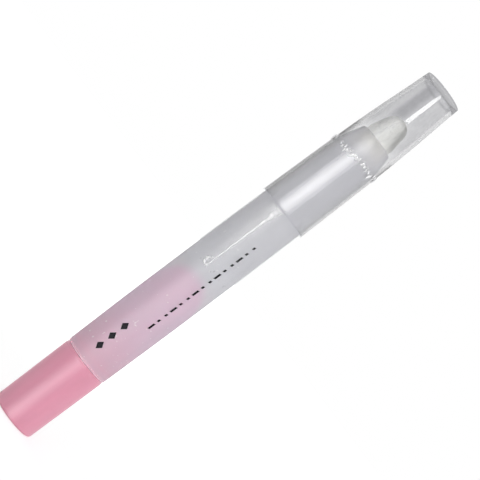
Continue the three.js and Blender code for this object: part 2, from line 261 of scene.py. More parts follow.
def grid_object(name, points, closed):
    """A smooth mesh of quads between neighbours in a (rows, columns, 3) grid with columns round the axis.

    A closed outline joins its last row to its first. An open one ends on the axis, where each end row of no
    width is one vertex with a fan of triangles.
    """
    rows, columns = points.shape[:2]
    vertices = points.reshape(-1, 3)
    index = np.arange(rows * columns).reshape(rows, columns)
    if not closed:
        vertices = np.concatenate([points[:1, 0], points[1:-1].reshape(-1, 3), points[-1:, 0]])
        index = 1 + np.arange((rows - 2) * columns).reshape(rows - 2, columns)
    lower, upper = (index, np.roll(index, -1, 0)) if closed else (index[:-1], index[1:])
    quads = np.stack([lower, np.roll(lower, -1, 1), np.roll(upper, -1, 1), upper], -1).reshape(-1, 4)
    faces = quads.tolist()
    if not closed:
        first, last = index[0], index[-1]
        south = np.stack([np.zeros_like(first), np.roll(first, -1), first], -1)
        north = np.stack([np.full_like(last, len(vertices) - 1), last, np.roll(last, -1)], -1)
        faces += south.tolist() + north.tolist()
    return mesh_object(name, vertices, faces)


def turned_shell(name, outline, closed):
    """A shell of turning from its outline of radius and height."""
    return grid_object(name, turned(outline[:, 0], outline[:, 1], COLUMNS), closed)


def mesh_object(name, vertices, faces):
    """A smooth mesh of faces in the scene."""
    mesh = bpy.data.meshes.new(name)
    mesh.from_pydata(vertices, [], faces)
    mesh.polygons.foreach_set("use_smooth", np.ones(len(mesh.polygons), bool))
    mesh.update()
    made = bpy.data.objects.new(name, mesh)
    bpy.context.scene.collection.objects.link(made)
    return made


def dress(made, body, slot, material, *nodes):
    """Gives a piece its material, its body and the CAD nodes that it stands for. The slot is not used."""
    made.data.materials.append(material)
    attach(made, body)
    if nodes:
        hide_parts(*nodes)


def barrel_radius(size, height):
    """The barrel swells in the middle: one parabola on each side of the swell."""
    forward = height > size.barrel_swell_height
    end_radius = np.where(forward, size.barrel_front_radius, size.barrel_rear_radius)
    end = np.where(forward, BARREL.front, BARREL.rear)
    share = (height - size.barrel_swell_height) / (end - size.barrel_swell_height)
    return BARREL.radius - (BARREL.radius - end_radius) * share**2


def cap_radius(size, height):
    """The cap has two straight tapers, blended over a parabola at the knee."""
    rear_slope = (CAP.radius - size.cap_knee_radius) / size.cap_knee_height
    knee = CAP.rear + size.cap_knee_height
    front_slope = (size.cap_knee_radius - size.cap_end_radius) / (CAP.front - knee)
    rise = height - knee
    blend = size.cap_knee_blend
    straight = -rise * np.where(rise < 0, rear_slope, front_slope)
    bend = (front_slope - rear_slope) * (rise**2 + blend**2) / (4 * blend)
    bent = -(rear_slope + front_slope) / 2 * rise - bend
    return size.cap_knee_radius + np.where(np.abs(rise) >= blend, straight, bent)


def stretch(radius, heights):
    """Unrounded corners that follow a radius over heights."""
    return np.stack([radius, heights, np.zeros_like(heights)], axis=-1)


# Shader trees


class Wire:
    """An output socket whose arithmetic adds Math nodes to its tree."""

    def __init__(self, tree, socket):
        self.tree = tree
        self.socket = socket

    def math(self, operation, *values):
        """A Math node on wires or numbers."""
        return self.tree.add("ShaderNodeMath", {"operation": operation}, dict(enumerate(values)))

    def __add__(self, other):
        return self.math("ADD", self, other)

    __radd__ = __add__

    def __sub__(self, other):
        return self.math("SUBTRACT", self, other)

    def __rsub__(self, other):
        return self.math("SUBTRACT", other, self)

    def __mul__(self, other):
        return self.math("MULTIPLY", self, other)

    __rmul__ = __mul__

    def __truediv__(self, other):
        return self.math("DIVIDE", self, other)

    def __rtruediv__(self, other):
        return self.math("DIVIDE", other, self)

    def __pow__(self, other):
        return self.math("POWER", self, other)

    def __rpow__(self, other):
        return self.math("POWER", other, self)

    def step(self, low, high):
        """Rises smoothly from 0 at low to 1 at high."""
        sockets = {"Value": self, "From Min": low, "From Max": high}
        return self.tree.add("ShaderNodeMapRange", {"interpolation_type": "SMOOTHSTEP"}, sockets)


class Tree:
    """The node tree of a material or of the world."""

    def __init__(self, owner):
        owner.use_nodes = True
        self.owner = owner
        self.nodes = owner.node_tree.nodes
        self.links = owner.node_tree.links
        self.nodes.clear()

    def add(self, kind, settings=None, sockets=None, output=0):
        """Adds a node: its settings first, then values or links of its sockets. Returns one output."""
        node = self.nodes.new(kind)
        for name, value in (settings or {}).items():
            setattr(node, name, value)
        for key, value in (sockets or {}).items():
            if isinstance(value, Wire):
                self.links.new(value.socket, node.inputs[key])
            else:
                node.inputs[key].default_value = value
        return Wire(self, node.outputs[output]) if node.outputs else None

    def place(self):
        """The point on the piece, in metres."""
        return self.add("ShaderNodeTexCoord", output="Object")

    def axes(self, point):
        """The three coordinates of a point."""
        split = self.add("ShaderNodeSeparateXYZ", sockets={0: point}).socket.node
        return [Wire(self, socket) for socket in split.outputs]

    def stretched(self, point, scale):
        """A point scaled along each axis."""
        return self.add("ShaderNodeVectorMath", {"operation": "MULTIPLY"}, {0: point, 1: scale})

    def reach(self, point):
        """The distance of a point from the pen's axis."""
        flat = self.stretched(point, (1.0, 1.0, 0.0))
        return self.add("ShaderNodeVectorMath", {"operation": "LENGTH"}, {0: flat}, output="Value")

    def noise(self, point, size, detail=2.0, distortion=0.0, along=1.0):
        """Soft noise from 0 to 1 with blobs of a size in metres.

        A factor along under 1 draws the blobs out along the pen.
        """
        if along != 1.0:
            point = self.stretched(point, (1.0, 1.0, along))
        sockets = {"Vector": point, "Scale": 1 / size, "Detail": detail, "Distortion": distortion}
        return self.add("ShaderNodeTexNoise", sockets=sockets)

    def rays(self, *kinds):
        """1 for rays of any of these kinds, such as Is Shadow Ray, and 0 for the rest."""
        path = self.add("ShaderNodeLightPath").socket.node
        found = Wire(self, path.outputs[kinds[0]])
        for kind in kinds[1:]:
            found = found.math("MAXIMUM", found, Wire(self, path.outputs[kind]))
        return found

    def facing(self):
        """0 where the surface faces the viewer, 1 where it is seen edge-on."""
        return self.add("ShaderNodeLayerWeight", sockets={"Blend": 0.5}, output="Facing")

    def head_on(self):
        """1 where the surface faces the viewer, falling to a small share where it is seen edge-on."""
        return 1 - 0.85 * self.facing().step(0.25, 0.65)

    def mix(self, share, first, second):
        """A colour between two colours."""
        return self.add("ShaderNodeMix", {"data_type": "RGBA"}, {0: share, 6: first, 7: second}, output=2)

    def bump(self, height, depth):
        """A normal bent by a height from 0 to 1 that stands for a depth in metres."""
        return self.add("ShaderNodeBump", sockets={"Height": height, "Distance": depth, "Strength": 1.0})

    def blend(self, share, first, second):
        """A shader between two shaders."""
        return self.add("ShaderNodeMixShader", sockets={0: share, 1: first, 2: second})

    def see_through(self, tone):
        """A clear shader that tints what lies behind it."""
        return self.add("ShaderNodeBsdfTransparent", sockets={"Color": tone})

    def principled(self, **sockets):
        """The main shader, with sockets named in lower case with underscores."""
        named = {
            key.replace("_", " ").title().replace("Ior", "IOR"): value for key, value in sockets.items()
        }
        return self.add("ShaderNodeBsdfPrincipled", sockets=named)

    def show(self, surface):
        """Ends the tree and gives its material."""
        self.add("ShaderNodeOutputMaterial", sockets={"Surface": surface})
        return self.owner


def material_tree(name):
    """A tree for a new material."""
    return Tree(bpy.data.materials.new(name))


def rgba(values, gain=1.0):
    """A colour property as four numbers."""
    return (*(min(1.0, v * gain) for v in values), 1.0)


def pink_moulded(name, pink, gloss, polished):
    """Moulded pink plastic: soft flow clouds along the axis and a fine haze of scuffs.

    It is shinier above the polished height, and its clear coat thins towards the knob's front and edge-on.
    """
    tree = material_tree(name)
    point = tree.place()
    flow = tree.noise(point, 3.0 * MM, detail=3.0, along=0.25)
    haze = tree.noise(point, 0.9 * MM, detail=4.0)
    scuff = tree.noise(point, 0.25 * MM, detail=2.0, along=0.08).step(0.62, 0.8)
    height = tree.axes(point)[2]
    rim = height.step(polished - 0.3 * MM, polished + 0.3 * MM)
    worn = height.step(KNOB.rear, KNOB.front)
    shade = tree.mix(flow.step(0.3, 0.7), rgba(pink, 0.965), rgba(pink, 1.035))
    shell = tree.principled(
        base_color=shade,
        roughness=gloss + 0.06 * haze + 0.1 * scuff - 0.6 * gloss * rim,
        ior=1.49,
        specular_ior_level=0.25,
        normal=tree.bump(haze, 0.006 * MM),
        subsurface_weight=0.12,
        subsurface_radius=(1.0, 0.5, 0.6),
        subsurface_scale=0.8 * MM,
        coat_weight=(1.0 - 0.25 * worn) * tree.head_on() + 0.3 * rim,
        coat_roughness=0.16,
    )
    return tree.show(shell)


def frosted_moulded(name, colours):
    """Frosted plastic: part cloudy white, part rough glass with a fine grain.

    It is blushed where the sleeve lies behind it, deeper towards the knob, and clearer and warmer towards
    the nose's rim over the core. A lighter pink is painted on its rear edge as a highlight. From the knob to
    the film it has a faint narrow sheen.
    """
    tree = material_tree(name)
    point = tree.place()
    height = tree.axes(point)[2]
    cloud = tree.noise(point, 4.0 * MM, detail=3.0, along=0.3)
    grain = tree.noise(point, 0.12 * MM, detail=2.0)
    sleeve = 1 - (height + 8 * MM * tree.facing()).step(SLEEVE.front - 1.0 * MM, SLEEVE.front + 2.5 * MM)
    rim = 1 - height.step(BARREL.rear + 0.3 * MM, BARREL.rear + 0.8 * MM)
    speck = tree.noise(point, 0.6 * MM, detail=0.0).step(0.78, 0.84)
    grey, pink, warm = (
        tree.mix(cloud.step(0.25, 0.75), rgba(tone, 0.97), rgba(tone, 1.03))
        for tone in (colours.frosted, colours.blush, colours.glow)
    )
    pink = tree.mix(height.step(BARREL.rear, BARREL.rear + 18 * MM), rgba(colours.deep_blush), pink)
    over_core = height.step(BARREL.front - 2 * MM, NOSE.front) * (1 - tree.facing().step(0.15, 0.7))
    # A lighter pink on the barrel's rear rounding is a painted highlight.
    painted_rim_highlight = (0.95, 0.66, 0.76, 1.0)
    tint = tree.mix(sleeve, tree.mix(over_core, grey, warm), tree.mix(0.8 * rim, pink, painted_rim_highlight))
    polish = 1 - height.step(FILM_REAR.rear - 4 * MM, FILM_REAR.rear + 4 * MM)
    shell = tree.principled(
        base_color=tree.mix(0.8 * speck, tint, (0.98, 0.98, 0.98, 1.0)),
        roughness=0.5 + 0.06 * cloud + 0.05 * grain - 0.35 * rim,
        ior=1.45,
        specular_ior_level=0.5,
        normal=tree.bump(grain, 0.004 * MM),
        transmission_weight=0.5,
        coat_weight=0.35 * polish * tree.head_on(),
        coat_roughness=0.18,
    )
    near_rim = height.step(NOSE.front - 4.5 * MM, NOSE.front - 0.3 * MM)
    clearness = near_rim * (0.6 - 0.4 * tree.facing().step(0.0, 0.3))
    shell = tree.blend(clearness, shell, tree.see_through((0.92, 0.92, 0.91, 1.0)))
    lit = tree.see_through(rgba(colours.frosted))
    return tree.show(tree.blend(0.7 * tree.rays("Is Shadow Ray"), shell, lit))


def natural_moulded(name, tone):
    """Uncoloured moulded plastic: milky, with faint flow streaks along the axis."""
    tree = material_tree(name)
    point = tree.place()
    flow = tree.noise(point, 1.2 * MM, detail=3.0, along=0.15)
    grain = tree.noise(point, 0.2 * MM)
    tint = tree.mix(flow, rgba(tone, 0.94), rgba(tone, 1.04))
    shell = tree.principled(
        base_color=tint,
        roughness=0.42 + 0.12 * grain,
        normal=tree.bump(grain, 0.005 * MM),
        subsurface_weight=0.15,
        subsurface_radius=(1.0, 1.0, 1.0),
        subsurface_scale=0.6 * MM,
    )
    return tree.show(shell)


def silicone_rubber(tone):
    """Soft silicone with a dusty bloom."""
    tree = material_tree("silicone_rubber")
    point = tree.place()
    dust = tree.noise(point, 0.15 * MM, detail=4.0)
    tint = tree.mix(dust.step(0.45, 0.8), rgba(tone), rgba(tone, 1.3))
    normal = tree.bump(dust, 0.008 * MM)
    return tree.show(tree.principled(base_color=tint, roughness=0.5 + 0.3 * dust, normal=normal))


def core_wax(tone):
    """Waxy white core: fine grains, drag marks along the cone and grey smudges near the tip.

    A soft painted shade with a patchy darker streak covers the cone to the right and towards the camera.
    """
    tree = material_tree("core_wax")
    point = tree.place()
    side, depth, height = tree.axes(point)
    grain = tree.noise(point, 0.16 * MM, detail=3.0)
    drag = tree.noise(point, 0.35 * MM, detail=2.0, along=0.12)
    near_tip = height.step(CORE.front - 7 * MM, CORE.front)
    smudge = tree.noise(point, 1.6 * MM, detail=2.0).step(0.45, 0.75) * near_tip
    pale = tree.mix(drag.step(0.3, 0.7), rgba(tone, 0.93), rgba(tone, 1.05))
    # Painted shade: the cone darkens to the right and towards the camera, with a patchy darker streak.
    shade_turn = math.radians(35.0)
    towards = (math.cos(shade_turn) * side - math.sin(shade_turn) * depth) / tree.reach(point)
    patchy = tree.noise(point, 1.3 * MM, detail=4.0, along=0.5)
    below_tip = 1 - height.step(CORE.front - 0.7 * MM, CORE.front)
    on_cone = height.step(CORE.front - 9 * MM, CORE.front - 5 * MM) * below_tip
    streak = patchy.step(0.2, 0.6) * (towards + 0.2 * patchy).step(0.95, 1.12)
    painted_shade = (0.42 * towards.step(0.4, 1.0) + 0.45 * streak) * on_cone
    tint = tree.mix(0.3 * smudge, tree.mix(painted_shade, pale, rgba(tone, 0.34)), rgba(tone, 0.68))
    normal = tree.bump(0.5 * grain + 0.5 * drag, 0.02 * MM)
    shell = tree.principled(
        base_color=tint,
        roughness=0.55 + 0.25 * grain,
        normal=normal,
        subsurface_weight=0.2,
        subsurface_radius=(1.0, 0.95, 0.85),
        subsurface_scale=0.7 * MM,
    )
    return tree.show(shell)


def closed_end(tree, point, bare):
    """The clear shader of the cap's closed end: a grey wall with darker edges painted as shade, and a paler
    face.
    """
    height = tree.axes(point)[2]
    # Painted shade: the wall is darker at its start and at its very end than in the band between.
    band = height.step(CAP.front - 1.5 * MM, CAP.front - 0.9 * MM)
    band = band * (1 - height.step(CAP.front - 0.45 * MM, CAP.front - 0.2 * MM))
    face = height.step(CAP.front - 0.4 * MM, CAP.front - 0.05 * MM)
    wall = tree.reach(point).step(5.0 * MM, 5.2 * MM)
    pane, veil, dusk = (tree.see_through((tone, tone, tone + 0.01, 1.0)) for tone in (0.8, 0.6, 0.5))
    return tree.blend(wall, tree.blend(face, bare, pane), tree.blend(band, dusk, veil))


def clear_moulded():
    """Clear hard plastic: sharp glass that greys towards its outline, with faint smudges and scratches.

    Ahead of the nose it is tinted, with a painted dark reflection as a band on the left, and pale flecks.
    Its outline is painted darker on the left as shade, and lighter in front of the core as painted light.
    The closed end is grey, and the gloss fades in from the mouth.
    """
    tree = material_tree("clear_plastic")
    point = tree.place()
    smudge = tree.noise(point, 3.5 * MM, detail=4.0, distortion=0.6).step(0.5, 0.75)
    scratch = tree.noise(point, 0.2 * MM, detail=1.0, along=0.05).step(0.66, 0.72)
    wave = tree.noise(point, 5.0 * MM, detail=1.0, along=0.2)
    fleck = tree.noise(point, 1.1 * MM, detail=3.0, distortion=0.8, along=0.5).step(0.52, 0.72)
    rough = 0.03 + 0.05 * smudge + 0.06 * scratch
    side, _, height = tree.axes(point)
    ahead = height.step(NOSE.front - 4 * MM, NOSE.front + 4 * MM)
    end = height.step(CAP.front - 2.1 * MM, CAP.front - 1.5 * MM)
    mouth = 1 - height.step(CAP.rear + 0.05 * MM, CAP.rear + 0.5 * MM)
    right = side.step(-6 * MM, 6 * MM)
    lining = tree.add("ShaderNodeAttribute", {"attribute_name": "lining"}, output="Fac")
    # A painted dark reflection: a darker band on the left, ahead of the nose.
    dark = side.step(-3.7 * MM, -2.5 * MM) * (1 - side.step(-1.6 * MM, 0.6 * MM))
    hollow = tree.mix(dark, (0.745, 0.745, 0.755, 1.0), (0.60, 0.60, 0.615, 1.0))
    facing = tree.facing()
    # Painted light: the tint is lighter in front of the core where the cap faces the viewer, so the core
    # looks brighter.
    before = (1 - height.step(CORE.front - 2.0 * MM, CORE.front + 0.3 * MM)) * (1 - facing.step(0.03, 0.13))
    body = tree.mix(ahead * (1 - 0.6 * before), (0.99, 0.99, 0.995, 1.0), hollow)
    # The outline greys more on the left than on the right, as painted shade.
    outer = facing.step(0.15, 0.75) * (1.0 - 0.3 * ahead - 0.4 * right)
    edge = outer + lining * (0.5 * facing.step(0.65, 1.0) - outer)
    tint = tree.mix(edge * (1 - 0.9 * end), body, (0.04, 0.04, 0.045, 1.0))
    shell = tree.principled(
        base_color=tint, roughness=rough, ior=1.5, transmission_weight=1.0, normal=tree.bump(wave, 0.05 * MM)
    )
    lit, bare = (tree.see_through((tone, tone, tone + 0.01, 1.0)) for tone in (0.93, 0.99))
    haze = tree.add("ShaderNodeBsdfDiffuse", sockets={"Color": (0.85, 0.85, 0.86, 1.0)})
    shell = tree.blend(0.16 * fleck * ahead, shell, haze)
    shell = tree.blend(0.75 * end, shell, closed_end(tree, point, bare))
    fresh = (1 - height.step(CAP.rear, CAP.rear + 2.8 * MM)) * (1 - facing.step(0.3, 0.7))
    shell = tree.blend(0.3 * fresh, shell, bare)
    shell = tree.blend(0.95 * mouth, shell, bare)
    return tree.show(tree.blend(tree.rays("Is Shadow Ray", "Is Diffuse Ray"), shell, lit))


def shrink_film():
    """Thin clear film: see-through and glossy with fine wrinkles, with painted white glints on its crease,
    pleats and fold.

    It is duller on the barrel than on the cap, and fades in from its rear edge.
    """
    tree = material_tree("shrink_film")
    point = tree.place()
    wrinkle = tree.noise(point, 1.1 * MM, detail=2.0, along=0.35)
    normal = tree.bump(wrinkle, 0.02 * MM)
    # The crease attribute holds painted glints on the crease, the pleats and the fold, and a painted sheen
    # beside the crease.
    crease = tree.add("ShaderNodeAttribute", {"attribute_name": "crease"}, output="Fac")
    height = tree.axes(point)[2]
    snug = height.step(FILM_REAR.rear, FILM_REAR.rear + 7 * MM)
    bare, film = (tree.see_through((tone, tone, tone, 1.0)) for tone in (1.0, 0.985))
    clear = tree.blend(snug, bare, film)
    rough = 0.4 - 0.32 * height.step(FILM_REAR.front, FILM_FRONT.rear + 1.2 * MM)
    sheen = {"Color": (1.0, 1.0, 1.0, 1.0), "Roughness": rough, "Normal": normal}
    gloss = tree.add("ShaderNodeBsdfAnisotropic", sockets=sheen)
    shine = (0.058 - 0.1 * rough + 0.12 * tree.facing() ** 5.0) * snug
    # A white shader for those painted glints.
    white = tree.principled(
        base_color=(0.95, 0.95, 0.96, 1.0), roughness=0.15, normal=normal, coat_weight=0.6
    )
    return tree.show(tree.blend(crease, tree.blend(shine, clear, gloss), white))


def print_ink(tone):
    """Pad-printed ink: nearly black, with pinholes of thin cover and a soft gloss."""
    tree = material_tree("print_ink")
    cover = tree.noise(tree.place(), 0.1 * MM, detail=3.0)
    tint = tree.mix(cover.step(0.6, 0.8), rgba(tone), rgba(tone, 6.0))
    return tree.show(tree.principled(base_color=tint, roughness=0.4 + 0.2 * cover, specular_ior_level=0.12))


# Pieces

# Roundings of edges that are nearly sharp, hidden inside or at a bore.
SHARP_EDGE = 0.02 * MM
HIDDEN_EDGE = 0.05 * MM
BORE_EDGE = 0.1 * MM


class PEN_OT_knob(bpy.types.Operator):
    """Build the pink turning knob with its flat end, its moulding dimple and its low collar"""

    bl_idname = "pen.knob"
    bl_label = "Knob"

    def execute(self, context):
        """An outline from the dimple round the outside into the hollow, turned round the axis."""
        size = context.scene.pen_sizes
        seat = SLEEVE.radius
        inner = SLEEVE.radius - size.knob_ledge
        gate = size.gate_radius
        corners = [
            (0.0, size.gate_depth, 0.0),
            (0.7 * gate, size.gate_depth, 0.15 * gate),
            (gate, 0.0, 0.15 * gate),
            (size.knob_rear_radius, 0.0, size.knob_rear_rounding),
            (KNOB.radius, KNOB.front - size.knob_slope, 0.9 * size.knob_slope),
            (KNOB.radius - size.knob_slope_depth, KNOB.front, SHARP_EDGE),
            (size.knob_collar_radius, KNOB.front, 0.5 * SHARP_EDGE),
            (size.knob_collar_radius, KNOB.front + size.knob_collar, HIDDEN_EDGE),
            (seat, KNOB.front + size.knob_collar, HIDDEN_EDGE),
            (seat, KNOB.front - size.knob_seat, HIDDEN_EDGE),
            (inner, KNOB.front - size.knob_seat, HIDDEN_EDGE),
            (inner, size.knob_end_wall, size.knob_inner_rounding),
            (0.0, size.knob_end_wall, 0.0),
        ]
        outline = rounded_outline(corners, closed=False)
        made = turned_shell("knob_shell", outline, closed=False)
        pink = context.scene.pen_colours.knob_pink
        finish = pink_moulded("knob_pink", pink, gloss=0.28, polished=KNOB.front - size.knob_slope)
        dress(made, "knob", "pink_plastic", finish, "knob")
        return {"FINISHED"}


class PEN_OT_barrel(bpy.types.Operator):
    """Build the frosted barrel, a swollen tube with a rounded rear edge"""

    bl_idname = "pen.barrel"
    bl_label = "Barrel"

    def execute(self, context):
        """The swollen outside and the straight bore as one closed outline, turned round the axis."""
        size = context.scene.pen_sizes
        edge = size.edge_rounding
        heights = np.linspace(BARREL.rear + 2 * edge, BARREL.front - edge, 120)
        corners = np.concatenate([
            [(size.barrel_bore, BARREL.rear, BORE_EDGE), (size.barrel_rear_radius, BARREL.rear, edge)],
            stretch(barrel_radius(size, heights), heights),
            [(size.barrel_front_radius, BARREL.front, SHARP_EDGE)],
            [(size.barrel_bore, BARREL.front, HIDDEN_EDGE)],
        ])
        outline = rounded_outline(corners, spacing=1.0 * MM)
        made = turned_shell("barrel_shell", outline, closed=True)
        finish = frosted_moulded("frosted_barrel", context.scene.pen_colours)
        dress(made, "barrel", "frosted_plastic", finish, "barrel")
        return {"FINISHED"}


class PEN_OT_nose(bpy.types.Operator):
    """Build the conical nose with its round shoulder, rim and spigot"""

    bl_idname = "pen.nose"
    bl_label = "Nose"

    def execute(self, context):
        """The shoulder rounds the corner where the cone's line meets the widest radius."""
        size = context.scene.pen_sizes
        seam = BARREL.front + size.nose_seam
        shoulder = seam + size.nose_shoulder
        shoulder_radius = NOSE.radius - size.nose_shoulder_drop
        slope = (shoulder_radius - size.nose_rim_radius) / (NOSE.front - size.nose_rim_rounding - shoulder)
        corner = shoulder - size.nose_shoulder_drop / slope
        corners = [
            (size.nose_bore, NOSE.rear, BORE_EDGE),
            (size.nose_spigot, NOSE.rear, BORE_EDGE),
            (size.nose_spigot, seam, SHARP_EDGE),
            (NOSE.radius, seam, SHARP_EDGE),
            (NOSE.radius, corner, 0.9 * (corner - seam)),
            (size.nose_rim_radius, NOSE.front, size.nose_rim_rounding),
            (size.nose_bore, NOSE.front, BORE_EDGE),
        ]
        outline = rounded_outline(corners, spacing=0.4 * MM, steps=15)
        made = turned_shell("nose_shell", outline, closed=True)
        finish = frosted_moulded("frosted_nose", context.scene.pen_colours)
        dress(made, "barrel", "frosted_plastic", finish, "nose")
        return {"FINISHED"}


class PEN_OT_core(bpy.types.Operator):
    """Build the white core with its worn blunt cone"""

    bl_idname = "pen.core"
    bl_label = "Core"

    def execute(self, context):
        """The cone's radius gains sines of angle and height, and it leans by the square of the climb."""
        size = context.scene.pen_sizes
        cone = CORE.front - size.core_cone
        corners = [
            (0.0, CORE.rear, 0.0),
            (CORE.radius, CORE.rear, size.core_rear_rounding),
            (CORE.radius, cone, size.core_shoulder),
            (size.core_tip_radius, CORE.front - size.core_crown, size.core_tip_rounding),
            (0.0, CORE.front, 0.0),
        ]
        outline = rounded_outline(corners, spacing=0.2 * MM, closed=False)
        radius, height = outline[:, :1], outline[:, 1:]
        angle = around(COLUMNS)[None, :]
        worn = np.clip((height - cone) / size.core_cone, 0.0, 1.0)
        ripple = np.sin(2 * angle + 0.7) + 0.6 * np.sin(5 * angle + 900 * height)
        ripple = ripple + 0.4 * np.sin(9 * angle - 1700 * height)
        fade = worn * (1 - worn**8) * np.minimum(1.0, radius / size.core_tip_radius)
        radius = radius + size.core_wear * fade * ripple
        points = turned(radius, height, COLUMNS)
        points[..., 0] += size.core_lean * worn**2
        made = grid_object("core_bullet", points, closed=False)
        dress(made, "core_carrier", "core_wax", core_wax(context.scene.pen_colours.wax), "core")
        return {"FINISHED"}


class PEN_OT_cap(bpy.types.Operator):
    """Build the clear tapered cap as one thick-walled glassy shell"""

    bl_idname = "pen.cap"
    bl_label = "Cap"

    def execute(self, context):
        """Hollow, fit round the barrel and outside as one turned outline. Deep points are the lining."""
        size = context.scene.pen_sizes
        inner_end = CAP.front - size.cap_end_wall
        rounding = size.cap_rounding
        mouth = size.cap_mouth_rounding
        mouth_end = CAP.rear + 10 * mouth
        outside = np.linspace(mouth_end, CAP.front - 2 * rounding, 90)
        bore = np.linspace(inner_end - 2 * rounding, NOSE.front, 30)
        sleeve = np.linspace(BARREL.front, mouth_end, 40)
        corners = np.concatenate([
            [(0.0, inner_end, 0.0), (cap_radius(size, inner_end) - size.cap_wall, inner_end, rounding)],
            stretch(cap_radius(size, bore) - size.cap_wall, bore),
            stretch(barrel_radius(size, sleeve) + size.cap_fit, sleeve),
            [(barrel_radius(size, CAP.rear) + size.cap_fit, CAP.rear, mouth), (CAP.radius, CAP.rear, mouth)],
            stretch(cap_radius(size, outside), outside),
            [(size.cap_end_radius, CAP.front, rounding), (0.0, CAP.front, 0.0)],
        ])
        outline = rounded_outline(corners, spacing=0.8 * MM, closed=False)
        made = turned_shell("cap_shell", outline, closed=False)
        skin = 0.3 * size.cap_wall
        inside = (outline[:, 0] < cap_radius(size, outline[:, 1]) - skin).astype(np.float32)
        lining = made.data.attributes.new("lining", "FLOAT", "POINT")
        lining.data.foreach_set("value", np.r_[inside[0], np.repeat(inside[1:-1], COLUMNS), inside[-1]])
        dress(made, "cap", "clear_plastic", clear_moulded(), "cap")
        return {"FINISHED"}


class PEN_OT_film(bpy.types.Operator):
    """Build the two halves of the shrink film, pleated at their shrunken edges and creased along the pen"""

    bl_idname = "pen.film"
    bl_label = "Shrink film"

    def execute(self, context):
        size = context.scene.pen_sizes
        finish = shrink_film()
        halves = (
            ("film_on_barrel", "barrel", FILM_REAR, barrel_radius, 0.0, 0.12, "seal_film_rear", 11),
            ("film_on_cap", "cap", FILM_FRONT, cap_radius, 1.0, 1.0, "seal_film_front", 23),
        )
        for name, body, reach, base, shrunk, pleated, node, seed in halves:
            made = film_half(size, name, reach, base, shrunk, pleated, seed)
            dress(made, body, "film", finish, node)
        return {"FINISHED"}


def pleat_field(size, angle, seed):
    """Pleats at random round an edge: humps exp(-(da/s)^2), weak over one smooth stretch.

    Gives the hump of each pleat at each angle, the strength of each pleat, its distance from the edge and
    its length in pleat lengths, and how far the pleats and a slow slant draw the edge in or out.
    """
    draws = np.random.default_rng(seed)
    count = size.pleat_count
    centre = (np.arange(count) + draws.uniform(-0.45, 0.45, count)) * 2 * math.pi / count
    apart = (angle[:, None] - centre + math.pi) % (2 * math.pi) - math.pi
    hump = np.exp(-((apart / draws.uniform(0.02, 0.04, count)) ** 2))
    smooth = np.exp(-(((centre - 1.21 * math.pi) / 0.26) ** 2))
    strength = draws.uniform(0.1, 1.0, count) * (1 - 0.9 * smooth)
    setback = draws.uniform(0.0, 3.0, count)
    long = draws.uniform(0.6, 1.3, count)
    drawn = (draws.uniform(-1.0, 1.0, count) * hump).sum(axis=1)
    return hump, strength, setback, long, size.film_ragged * (drawn + np.cos(angle))


def crease_field(size, angle, radius, height):
    """The film's crease, its fold and a faint glow of painted sheen, all on the side that faces the camera.

    The crease is a hump exp(-(x/w)^2) along the pen that wobbles, has lumps and widens towards the cap's
    mouth. The fold is half a ring exp(-((d-r)/w)^2) at the rear edge. The glow is a wide hump of painted
    sheen beside the crease.
    """
    side = radius * np.cos(angle) + size.crease_side
    near = np.sin(angle) < 0
    climb = np.clip((height - FILM_REAR.rear) / (FILM_REAR.front - FILM_REAR.rear), 0.0, 1.0)
    wobble = 0.1 * MM * np.sin(height / (0.45 * MM)) * np.sin(height / (1.7 * MM))
    lumps = 0.8 + 0.2 * np.sin(height / (0.6 * MM)) * np.sin(height / (0.23 * MM) + 1.0)
    width = size.crease_width * (0.45 + 0.4 * climb**2 + 3.0 * climb**10)
    crease = near * lumps * (1 - 0.4 * climb**10) * np.exp(-(((side + wobble) / width) ** 2))
    ring = np.hypot(side, height - FILM_REAR.rear - size.fold_radius) - size.fold_radius
    fold = near * np.exp(-((ring / size.fold_width) ** 2)) * np.clip(-side / size.fold_radius, 0.0, 1.0)
    fold = fold * (1 - 3 * climb) * (0.7 + 0.5 * np.sin(height / (0.17 * MM)))
    # Painted sheen: a faint glow beside the crease.
    glow = 0.23 * near * climb * np.exp(-(((side + 0.6 * MM) / (1.6 * MM)) ** 2))
    return crease, fold, glow


def film_half(size, name, reach, base, shrunk, pleated, seed):
    """Film round a form: inside at its radius plus a gap, outside one thickness further.

    Its shrunken edge, the rear one at shrunk 0 and the front one at 1, is ragged, thin and pleated, and
    along the pen each pleat is a hump exp(-(dz/l)^2). Only the rear half has the crease, the fold and the
    glow. All but the glow lift the film. Their strength, as painted white glints with the glow as painted
    sheen, is kept on the points as the attribute crease.
    """
    columns, rows = 540, 70
    angle = around(columns)
    hump, strength, setback, long, ragged = pleat_field(size, angle, seed)
    low = reach.rear + (1 - shrunk) * pleated * ragged - shrunk * size.film_spread
    high = reach.front + shrunk * pleated * ragged + (1 - shrunk) * size.film_spread
    share = 0.5 - 0.5 * np.cos(np.linspace(0, math.pi, rows))[:, None]
    height = low + share * (high - low)
    away = np.where(shrunk, high - height, height - low)
    lie = np.exp(-(((away[..., None] / size.pleat_length - setback) / long) ** 2))
    pleat = pleated * (strength * hump * lie).max(axis=2)
    radius = base(size, height) + size.film_gap
    crease, fold, glow = ((1 - shrunk) * mark for mark in crease_field(size, angle, radius, height))
    lift = size.pleat_height * pleat + size.crease_height * (crease + 2 * fold)
    thick = size.film_thickness * (0.2 + 0.8 * np.minimum(1.0, away / size.film_taper))
    skins = np.concatenate([radius + thick + lift, (radius + 0.6 * lift)[::-1]])
    made = grid_object(name, turned(skins, np.concatenate([height, height[::-1]]), columns), closed=True)
    # Painted glints on the pleats, the fold and the crease, no fainter than the painted sheen of the glow.
    white = np.clip(np.maximum(2.2 * (pleat + fold), crease) - 0.08, glow, 1.0)
    marks = made.data.attributes.new("crease", "FLOAT", "POINT")
    marks.data.foreach_set("value", np.concatenate([white, white[::-1]]).astype(np.float32).ravel())
    return made


